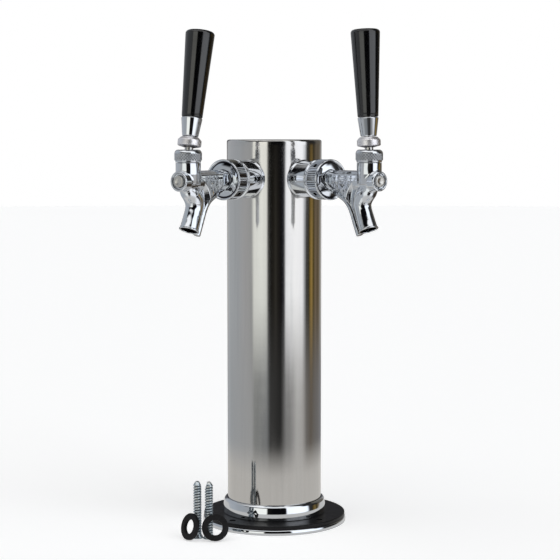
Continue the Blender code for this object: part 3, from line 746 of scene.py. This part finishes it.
def tap_distance(x, y, z):
    """Signed distance from the tap body's surface. The three arrays broadcast together."""
    around = np.hypot(y, z)
    upright = np.hypot(x - NECK_X, y)
    barrel = polygon_distance(around, x, BARREL)
    edge = BOSS_ROUND - np.clip(BOSS_FACE - x, 0, BOSS_ROUND)
    # 1.21 is the square of BOSS_ROUND.
    round_edge = around - (BARREL_RADIUS - (BOSS_ROUND - np.sqrt(np.maximum(1.21 - edge**2, 0))))
    barrel = np.where(x > 126.0, np.maximum(barrel, round_edge), barrel)
    body = merged(barrel, polygon_distance(upright, z, NECK), 1.1)
    spout_away, spout_radius = nearest_on(x, z, spout_line)
    spine_away, spine_radius = nearest_on(x, z, spine_line)
    spout = np.hypot(spout_away, y) - spout_radius
    spine = np.hypot(spine_away, y) - spine_radius
    from_spine = np.clip(1.3 + 1.9 * (spine_away - spine_radius), 1.3, 7.7)
    from_spout = 1.5 + 1.8 * np.maximum(spout_away - spout_radius, 0)
    web = within(polygon_distance(x, z, WEB), np.abs(y) - merged(from_spine, from_spout, 1.0), 1.2)
    body = merged(body, web, 0.6)
    body = merged(body, spout, 0.7)
    body = merged(body, spine, 0.7)
    above = (x - MOUTH[0]) * -math.sin(MOUTH_TILT) + (z - MOUTH[1]) * math.cos(MOUTH_TILT)
    above = np.where(z < -20, above, 50.0)
    lip = np.maximum(np.abs(above - 0.3) - 0.6, spout - 0.55)
    body = merged(body, lip, 0.5)
    body = merged(body, polygon_distance(around, x, REAR_RIM), 0.4)
    body = merged(body, polygon_distance(upright, z, SPIGOT), 0.3)
    body = without(body, above, 0.35)
    bore_away, bore_radius = nearest_on(x, z, bore_line)
    body = without(body, np.hypot(bore_away, y) - bore_radius, 0.45)
    body = without(body, polygon_distance(around, x, BORE), 0.3)
    body = without(body, polygon_distance(upright, z, SOCKET), 0.3)
    return without(body, slab(x, y, z, (113.6, -8.9), (1.4, 40, 2.9), math.radians(28)), 0.3)


def grid_surface(distance, low, high, step):
    """(verts, faces, normals) of the zero surface: one vertex per crossed cell, pulled onto the surface."""
    counts = [int(math.ceil((b - a) / step)) + 1 for a, b in zip(low, high)]
    axes = [a + np.arange(n) * step for a, n in zip(low, counts)]
    values = np.empty(counts)
    for i, x in enumerate(axes[0]):
        values[i] = distance(x, axes[1][:, None], axes[2][None, :])
    solid = values < 0
    corners = [(i, j, k) for i in (0, 1) for j in (0, 1) for k in (0, 1)]

    def corner(block, c):
        return block[tuple(slice(start, size - 1 + start) for start, size in zip(c, block.shape))]

    filled = sum(corner(solid, c).astype(int) for c in corners)
    mixed = (filled > 0) & (filled < 8)
    cells = np.argwhere(mixed)
    index = np.full(mixed.shape, -1)
    index[mixed] = np.arange(len(cells))
    total = np.zeros((len(cells), 3))
    hits = np.zeros(len(cells))
    at = {c: corner(values, c)[mixed] for c in corners}
    for first in corners:
        for axis in range(3):
            if first[axis]:
                continue
            second = tuple(1 if a == axis else f for a, f in enumerate(first))
            f0, f1 = at[first], at[second]
            crossed = (f0 < 0) != (f1 < 0)
            t = np.where(crossed, f0 / np.where(crossed, f0 - f1, 1), 0)
            point = np.tile(np.array(first, float), (len(cells), 1))
            point[:, axis] = t
            total += point * crossed[:, None]
            hits += crossed
    verts = (cells + total / hits[:, None]) * step + np.array(low)
    slope = gradient(distance, verts, 0.02)
    size = np.maximum((slope**2).sum(1), 0.2)
    for _ in range(4):
        move = -(distance(*verts.T) / size)[:, None] * slope
        verts += np.clip(move, -0.2 * step, 0.2 * step)
    slope = gradient(distance, verts, 0.05)
    normals = slope / np.maximum(np.linalg.norm(slope, axis=1), 1e-9)[:, None]
    faces = []
    for axis in range(3):
        u, v = [a for a in range(3) if a != axis]
        take = [slice(None)] * 3
        take[axis] = slice(0, -1)
        ahead = [slice(None)] * 3
        ahead[axis] = slice(1, None)
        change = solid[tuple(take)].astype(int) - solid[tuple(ahead)].astype(int)
        places = np.argwhere(change != 0)
        inner = (places[:, u] > 0) & (places[:, v] > 0)
        inner &= (places[:, u] < counts[u] - 1) & (places[:, v] < counts[v] - 1)
        places = places[inner]
        sign = change[tuple(places.T)]
        quad = []
        for du, dv in ((1, 1), (0, 1), (0, 0), (1, 0)):
            cell = places.copy()
            cell[:, u] -= du
            cell[:, v] -= dv
            quad.append(index[tuple(cell.T)])
        quad = np.stack(quad, 1)
        outward = sign > 0 if axis != 1 else sign < 0
        quad[~outward] = quad[~outward][:, ::-1]
        faces.append(quad)
    return verts, np.concatenate(faces), normals


def gradient(distance, points, nudge):
    slope = np.empty_like(points)
    for axis in range(3):
        step = np.zeros(3)
        step[axis] = nudge
        slope[:, axis] = (distance(*(points + step).T) - distance(*(points - step).T)) / (2 * nudge)
    return slope


def build_tap_bodies():
    verts, faces, normals = grid_surface(tap_distance, (65.0, -14.1, -46.5), (128.2, 14.1, 18.6), CELL)
    for side in SIDES:
        place = tap_frame(side)
        mesh = bpy.data.meshes.new(f"{side}_tap_casting")
        mesh.from_pydata((verts * MM).tolist(), [], faces.tolist())
        mesh.materials.append(FINISH["cast_chrome"])
        settle(mesh, place)
        obj = new_object(f"{side}_tap_body_skin", mesh)
        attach(obj, "tower")
        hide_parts(f"{side}_tap_body")
        mesh.polygons.foreach_set("use_smooth", [True] * len(mesh.polygons))
        turn = np.array(place.to_3x3())
        mesh.normals_split_custom_set_from_vertices((normals @ turn.T).tolist())


# Bonnet, shaft and lever

def diamonds(r, angles, z):
    """Crossed knurling on the bonnet's band."""
    if not (15.75 < z < 20.7 and r > 10.0):
        return np.full(len(angles), r)
    across = angles * 28 / (2 * math.pi)
    along = z / 2.3
    cut = np.zeros(len(angles))
    for lean in (1, -1):
        line = np.abs(((across + lean * along) % 1.0) - 0.5) * 2
        cut = np.maximum(cut, np.clip(1.4 - line / 0.27, 0, 1))
    return r - 0.5 * cut


def build_valve(side):
    tap = tap_frame(side)
    neck = neck_frame(side)
    axis = tap @ ALONG_X
    band = [(10.3, 15.8 + 0.27 * i) for i in range(19)]
    points = [(8.0, 14.0, 0.2), (9.6, 14.0, 0.3), (9.6, 15.3, 0.1), (10.25, 15.6, 0.2), *band, (10.3, 20.9, 0.3)]
    points += [(9.9, 22.1, 0.8), (8.9, 23.2, 0.7), (7.8, 23.5, 0.4), (5.0, 23.5, 0.3), (4.5, 21.9, 0.2)]
    points += [(6.7, 21.9), (6.7, 17.9), (8.0, 17.9)]
    turned_piece(
        f"{side}_bonnet", points, 320, "chrome", neck, "tower", diamonds, "bonnet_chrome", weighted=False, angle=50
    )

    points = [(5.95, 18.9, 0.1), (6.4, 18.9, 0.1), (6.4, 21.6, 0.1), (4.4, 21.6, 0.2)]
    turned_piece(f"{side}_ball_washer", points, 64, "white_nylon", neck, "tower")

    body = f"{side}_shaft"
    points = [(0, 60.3), (2.0, 60.3, 0.3), (2.0, 66.6), (3.0, 66.6, 0.2), (3.0, 107.7), (4.8, 109.7, 0.3)]
    points += [(4.8, 121.6, 0.2), (4.3, 121.6), (4.3, 127.5, 0.5), (2.6, 127.5, 0.4)]
    points += [(1.2, 127.05, 0.5), (0, 127.0)]
    verts, faces = lathe(points, 64)
    shaft = slotted(mesh_of(body, verts, faces), NECK_X + 18.0 * math.sin(math.radians(LEVER_LEAN[side])))
    add_piece(body + "_skin", shaft, FINISH["shaft_end"], axis, body, "brass", body)
    points = [(2.3, 63.1, 0.2), (6.6, 63.1, 0.4), (6.6, 65.4, 0.4), (2.3, 65.4, 0.2)]
    turned_piece(f"{side}_seat_washer", points, 64, "rubber", axis, body)
    points = [(2.3, 61.1, 0.2), (4.0, 61.1, 0.3), (4.0, 62.8, 0.3), (2.3, 62.8, 0.2)]
    turned_piece(f"{side}_shaft_nut", points, 48, "brass", axis, body, hexagon(7))


def slotted(mesh, middle):
    """The shaft with the slot that the lever's arm sits in."""
    low = Vector((-6.2, -2.7, middle - 3.85))
    high = Vector((3.2, 2.7, middle + 3.85))
    corners = [(x, y, z) for x in (low.x, high.x) for y in (low.y, high.y) for z in (low.z, high.z)]
    sides = [[0, 1, 3, 2], [4, 6, 7, 5], [0, 4, 5, 1], [2, 3, 7, 6], [0, 2, 6, 4], [1, 5, 7, 3]]
    return cut(mesh, [(mesh_of("slot_bit", corners, sides), Matrix())])


def build_lever(side):
    pivot = lever_frame(side)
    body = f"{side}_lever"
    ball = []
    for degrees in range(-62, 52, 6):
        angle = math.radians(degrees)
        ball.append((BALL_RADIUS * math.cos(angle), BALL_RADIUS * math.sin(angle)))
    points = [(0, -20.3), (2.3, -20.3, 0.7), (2.3, ball[0][1] - 0.4, 0.2), *ball, (3.2, ball[-1][1] + 0.3, 0.3)]
    points += [(3.2, 43, 0.6), (0, 43)]
    turned_piece(body, points, 64, "stainless", pivot, body)

    points = [(3.5, 7.0), (8.4, 8.2, 0.5), (8.9, 8.6, 0.3), (8.9, 12.6, 0.5), (6.6, 14.9, 0.5), (3.5, 15.1)]
    turned_piece(f"{side}_lever_collar", points, 96, "chrome", pivot, body, finish="satin_plate")

    points = [(3.5, 15.4), (5.7, 15.4, 0.3), (6.1, 15.9, 0.4), (7.9, 28.9, 0.4), (7.6, 29.4, 0.3), (3.5, 29.4)]
    turned_piece(f"{side}_ferrule", points, 96, "chrome", pivot, body)

    sides = []
    for i in range(25):
        t = i / 24
        sides.append((7.85 + 3.1 * t, 30.5 + 61.9 * t))
    crown = []
    for i in range(13):
        angle = math.radians(5 + 80 * i / 12)
        crown.append((8.4 + 2.6 * math.cos(angle), 92.4 + 2.6 * math.sin(angle)))
    points = [(0, 44.5), (3.5, 44.5), (3.5, 29.8), (7.4, 29.8, 0.3), *sides, *crown]
    points += [(6.4, 95.15), (4.0, 95.27), (0, 95.33)]
    turned_piece(f"{side}_handle", points, 128, "black_plastic", pivot, body, weighted=False)


# Loose fixings

def wood_screw(r, angles, z):
    """A wood-screw thread, then a tip with one side ground away."""
    reach = np.full(len(angles), r)
    if 5.0 < z < 42.6 and abs(r - LOOSE_SCREW_RADIUS) < 0.01:
        phase = (z / LOOSE_SCREW_PITCH - angles / (2 * math.pi)) % 1.0
        reach = r - 1.0 * np.clip(np.abs(phase - 0.5) * 4.4 - 1.0, 0, 1)
    if z > 38.5:
        bite = np.clip((z - 38.5) / 5.0, 0, 1) * 1.9
        flat = (LOOSE_SCREW_RADIUS - bite) / np.maximum(np.cos(angles), 0.05)
        reach = np.minimum(reach, np.maximum(flat, 0.3))
    return reach


def build_loose_fixings():
    for i, turn in ((1, 40), (2, 165)):
        low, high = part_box(f"loose_screw_{i}")
        at = Matrix.Translation(((low.x + high.x) / 2, (low.y + high.y) / 2, 0)) @ turned(turn, "Z")
        shank = [(LOOSE_SCREW_RADIUS, 3.7 + 0.2 * k) for k in range(194)]
        tip = [(2.8, 42.7), (2.4, 43.4), (2.0, 44.0), (1.6, 44.6), (1.1, LOOSE_SCREW_LENGTH)]
        points = [(0, 0.9), (1.6, 0.9, 0.2), (2.2, 0.0, 0.2), (4.6, 0.0, 0.3), (4.6, 0.6, 0.3)]
        points += [(LOOSE_SCREW_RADIUS, 3.4, 0.5), *shank, *tip, (0, LOOSE_SCREW_LENGTH)]
        turned_piece(f"loose_screw_{i}", points, 48, "zinc_plate", at, "tower", wood_screw, weighted=False, angle=60)

    for i, (lean, heading) in ((1, (15, -55)), (2, (14, 8))):
        low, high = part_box(f"loose_washer_{i}")
        centre = Matrix.Translation((low + high) / 2)
        place = centre @ turned(heading, "Z") @ turned(90 - lean, "X")
        points = [(5.8, -1.5, 0.5), (10.4, -1.5, 0.7), (10.4, 1.5, 0.7), (5.8, 1.5, 0.5)]
        turned_piece(f"loose_washer_{i}", points, 128, "rubber", place, "tower")


# Studio

LENS_MM = 103.62
SENSOR_MM = 36
CAMERA_PLACE = (-0.0498, -1.27525, 0.31271)
CAMERA_DOWN = 5.10
CAMERA_HEADING = -2.4
FLOOR_SIZE = 6.0
TABLE_SIZE = 0.42


def add_camera():
    data = bpy.data.cameras.new("camera")
    data.lens = LENS_MM
    data.sensor_width = SENSOR_MM
    camera = new_object("camera", data)
    camera.location = CAMERA_PLACE
    camera.rotation_euler = (math.radians(90 - CAMERA_DOWN), 0, math.radians(CAMERA_HEADING))
    bpy.context.scene.camera = camera


def floor_sheet(name, size, height):
    """A round floor sheet centred under the tower."""
    verts = []
    for k in range(96):
        angle = 2 * math.pi * k / 96
        verts.append((size * math.cos(angle), AXIS_Y + size * math.sin(angle), height))
    mesh = bpy.data.meshes.new(name)
    mesh.from_pydata(verts, [], [list(range(96))])
    obj = new_object(name, mesh)
    return obj


def white_paper():
    finish = Finish("white_paper", (0.9, 0.9, 0.9), 0.6, 0.0, Specular_IOR_Level=0.0)
    finish.shader.inputs["Emission Color"].default_value = (1, 1, 1, 1)
    finish.shader.inputs["Emission Strength"].default_value = 0.5
    return finish.material


def table_glow():
    """The lit table as the metal sees it: even near the tower, and gone by its edge."""
    finish = Finish("table_glow", (0.0, 0.0, 0.0), 1.0, 0.0, Specular_IOR_Level=0.0)
    finish.place = finish.node("ShaderNodeTexCoord").outputs["Object"]
    centre = finish.node("ShaderNodeVectorMath", operation="SUBTRACT")
    centre.inputs[1].default_value = (0, AXIS_Y, 0)
    finish.link(finish.place, centre.inputs[0])
    length = finish.node("ShaderNodeVectorMath", operation="LENGTH")
    finish.link(centre.outputs[0], length.inputs[0])
    glow = finish.node("ShaderNodeEmission")
    glow.inputs["Color"].default_value = (0.66, 0.65, 0.63, 1)
    clear = finish.node("ShaderNodeBsdfTransparent")
    mixed = finish.node("ShaderNodeMixShader")
    finish.link(finish.ranged(length.outputs["Value"], 0.24, 0.38, 0.0, 1.0), mixed.inputs["Fac"])
    finish.link(glow.outputs[0], mixed.inputs[1])
    finish.link(clear.outputs[0], mixed.inputs[2])
    finish.link(mixed.outputs[0], finish.tree.nodes["Material Output"].inputs["Surface"])
    return finish.material


# Upright panels, as (azimuth, colour). Azimuth 0 is the front (-Y), and it grows towards +X, in degrees.
# By elevation: FLOOR is lowest, then LOW, LEVEL at the horizon, HIGH, TALL, and OVERHEAD at the top.

BLACK = (0.004, 0.004, 0.005)
HIGH_BANDS = [
    (-180, (0.10, 0.10, 0.11)), (-160, (0.10, 0.10, 0.11)), (-152, (0.52, 0.54, 0.57)), (-115, (0.46, 0.48, 0.52)),
    (-90, (0.42, 0.45, 0.48)), (-56, (0.44, 0.45, 0.46)), (-54, (1.2, 1.2, 1.12)), (-20, (1.25, 1.25, 1.16)),
    (-17, (0.012, 0.012, 0.010)), (-6, BLACK), (24, BLACK), (27, (1.40, 1.44, 1.52)), (70, (1.42, 1.48, 1.58)),
    (78, (1.3, 1.36, 1.45)), (84, (0.05, 0.05, 0.05)), (96, (0.02, 0.02, 0.02)), (112, (0.03, 0.03, 0.03)),
    (124, (0.14, 0.13, 0.11)), (148, (0.16, 0.14, 0.12)), (158, (0.4, 0.4, 0.4)), (166, (0.10, 0.10, 0.11)),
    (180, (0.10, 0.10, 0.11)),
]
TALL_BANDS = [
    (-180, (0.22, 0.22, 0.23)), (-150, (0.46, 0.49, 0.53)), (-82, (0.44, 0.48, 0.52)), (-74, BLACK), (24, BLACK),
    (27, (1.35, 1.4, 1.46)), (66, (1.35, 1.4, 1.46)), (74, (0.05, 0.05, 0.05)), (112, (0.03, 0.03, 0.03)),
    (124, (0.14, 0.13, 0.11)), (150, (0.18, 0.17, 0.15)), (158, (0.34, 0.34, 0.34)), (180, (0.22, 0.22, 0.23)),
]
LEVEL_BANDS = [
    (-180, (0.3, 0.3, 0.3)), (-160, (0.55, 0.55, 0.55)), (-150, (0.50, 0.53, 0.56)), (-100, (0.48, 0.51, 0.54)),
    (-78, (0.50, 0.50, 0.51)), (-57, (0.43, 0.44, 0.44)), (-54, (1.06, 1.08, 1.03)),
    (-34, (1.14, 1.17, 1.12)), (-21, (1.05, 1.07, 1.03)), (-17, (0.06, 0.06, 0.06)), (-10, (0.008, 0.007, 0.005)),
    (-3, (0.02, 0.018, 0.013)), (1, (0.045, 0.042, 0.035)), (6, (0.02, 0.018, 0.015)), (15, BLACK),
    (22, (0.04, 0.04, 0.05)), (26, (1.30, 1.33, 1.38)), (50, (1.42, 1.44, 1.48)), (70, (1.32, 1.34, 1.40)),
    (76, (0.55, 0.57, 0.60)), (82, (0.07, 0.07, 0.07)), (93, (0.05, 0.04, 0.015)), (96, (0.30, 0.19, 0.035)),
    (103, (0.42, 0.28, 0.09)), (107, (0.08, 0.06, 0.01)), (121, (0.24, 0.18, 0.12)),
    (126, (0.12, 0.09, 0.05)), (140, (0.20, 0.16, 0.11)), (150, (0.42, 0.41, 0.38)), (160, (0.55, 0.55, 0.53)),
    (180, (0.3, 0.3, 0.3)),
]
LOW_BANDS = [
    (-180, (0.45, 0.45, 0.45)), (-150, (0.46, 0.49, 0.52)), (-60, (0.46, 0.47, 0.48)), (-52, (0.30, 0.31, 0.31)),
    (-20, (0.22, 0.23, 0.24)), (-12, (0.06, 0.06, 0.06)), (14, (0.03, 0.03, 0.03)), (26, (0.24, 0.24, 0.24)),
    (40, (0.34, 0.34, 0.34)), (56, (0.56, 0.56, 0.55)), (72, (0.50, 0.49, 0.48)), (84, (0.22, 0.21, 0.20)),
    (100, (0.16, 0.14, 0.12)), (112, (0.19, 0.18, 0.17)), (150, (0.24, 0.24, 0.25)), (180, (0.45, 0.45, 0.45)),
]
OVERHEAD_BANDS = [
    (-180, (0.03, 0.03, 0.03)), (-140, (0.03, 0.03, 0.03)), (-132, (0.5, 0.5, 0.5)), (-100, (0.5, 0.5, 0.5)),
    (-88, (1.25, 1.25, 1.25)), (74, (1.25, 1.25, 1.25)), (84, (0.03, 0.03, 0.03)), (180, (0.03, 0.03, 0.03)),
]
FLOOR_BANDS = [
    (-180, (0.10, 0.08, 0.06)), (-150, (0.44, 0.47, 0.50)), (-60, (0.46, 0.48, 0.50)), (-54, (1.0, 1.02, 1.0)),
    (-20, (1.05, 1.06, 1.02)), (-16, (0.02, 0.02, 0.02)), (22, BLACK), (27, (1.2, 1.22, 1.26)),
    (76, (1.1, 1.12, 1.16)), (82, (0.04, 0.035, 0.03)), (108, (0.05, 0.04, 0.03)), (150, (0.08, 0.06, 0.045)),
    (180, (0.10, 0.08, 0.06)),
]


def add_world():
    """A studio of upright panels round the tower, darker towards the table, with a soft light overhead."""
    world = bpy.data.worlds.new("studio")
    bpy.context.scene.world = world
    world.use_nodes = True
    nodes = world.node_tree.nodes
    links = world.node_tree.links

    def math_node(operation, *values):
        node = nodes.new("ShaderNodeMath")
        node.operation = operation
        for value, socket in zip(values, node.inputs):
            if isinstance(value, (int, float)):
                socket.default_value = value
            else:
                links.new(value, socket)
        return node.outputs[0]

    def ramp(value, stops):
        node = nodes.new("ShaderNodeValToRGB")
        fill_ramp(node.color_ramp, stops)
        links.new(value, node.inputs["Fac"])
        return node.outputs["Color"]

    def mixed(factor, first, second):
        node = nodes.new("ShaderNodeMix")
        node.data_type = "RGBA"
        links.new(factor, node.inputs["Factor"])
        for value, name in ((first, "A"), (second, "B")):
            socket = [s for s in node.inputs if s.name == name and s.type == "RGBA"][0]
            if isinstance(value, tuple):
                socket.default_value = value
            else:
                links.new(value, socket)
        return [s for s in node.outputs if s.type == "RGBA"][0]

    def rising(*steps):
        """0 to 1 stops over the elevation in degrees."""
        return ramp(rise, [((e + 90) / 180, (v, v, v)) for e, v in steps])

    direction = nodes.new("ShaderNodeTexCoord").outputs["Generated"]
    split = nodes.new("ShaderNodeSeparateXYZ")
    links.new(direction, split.inputs[0])
    x, y, z = split.outputs
    turn = math_node("ARCTAN2", x, math_node("MULTIPLY", y, -1.0))
    around = math_node("ADD", math_node("DIVIDE", turn, 2 * math.pi), 0.5)
    rise = math_node("ADD", math_node("DIVIDE", math_node("ARCSINE", z), math.pi), 0.5)

    def bands(stops):
        return ramp(around, [((azimuth + 180) / 360, colour) for azimuth, colour in stops])

    level = mixed(rising((-90, 0), (-3.0, 0), (1.5, 1), (90, 1)), bands(LEVEL_BANDS), bands(HIGH_BANDS))
    low = mixed(rising((-90, 0), (-17.0, 0), (-14.5, 1), (90, 1)), bands(FLOOR_BANDS), bands(LOW_BANDS))
    panels = mixed(rising((-90, 0), (-8.6, 0), (-6.0, 1), (90, 1)), low, level)
    tall = mixed(rising((-90, 0), (16, 0), (21, 1), (90, 1)), panels, bands(TALL_BANDS))
    overhead = mixed(rising((-90, 0), (74, 0), (80, 1), (90, 1)), bands(OVERHEAD_BANDS), (0.03, 0.03, 0.03, 1))
    shown = mixed(rising((-90, 0), (38, 0), (43, 1), (90, 1)), tall, overhead)
    seen = nodes.new("ShaderNodeLightPath").outputs["Is Camera Ray"]
    links.new(mixed(seen, shown, (1.0, 1.0, 1.0, 1.0)), nodes["Background"].inputs["Color"])


def build_stage():
    floor = floor_sheet("floor", FLOOR_SIZE, -0.0002)
    floor.data.materials.append(white_paper())
    floor.visible_glossy = False
    table = floor_sheet("table_reflection", TABLE_SIZE, -0.0004)
    table.data.materials.append(table_glow())
    table.visible_camera = False
    table.visible_diffuse = False
    table.visible_shadow = False
    add_world()
    view = bpy.context.scene.view_settings
    view.view_transform = "Standard"
    view.look = "None"


build_tower()
for side in SIDES:
    build_shank(side)
    build_valve(side)
    build_lever(side)
build_tap_bodies()
build_loose_fixings()
build_stage()
add_camera()

bpy.context.view_layer.update()
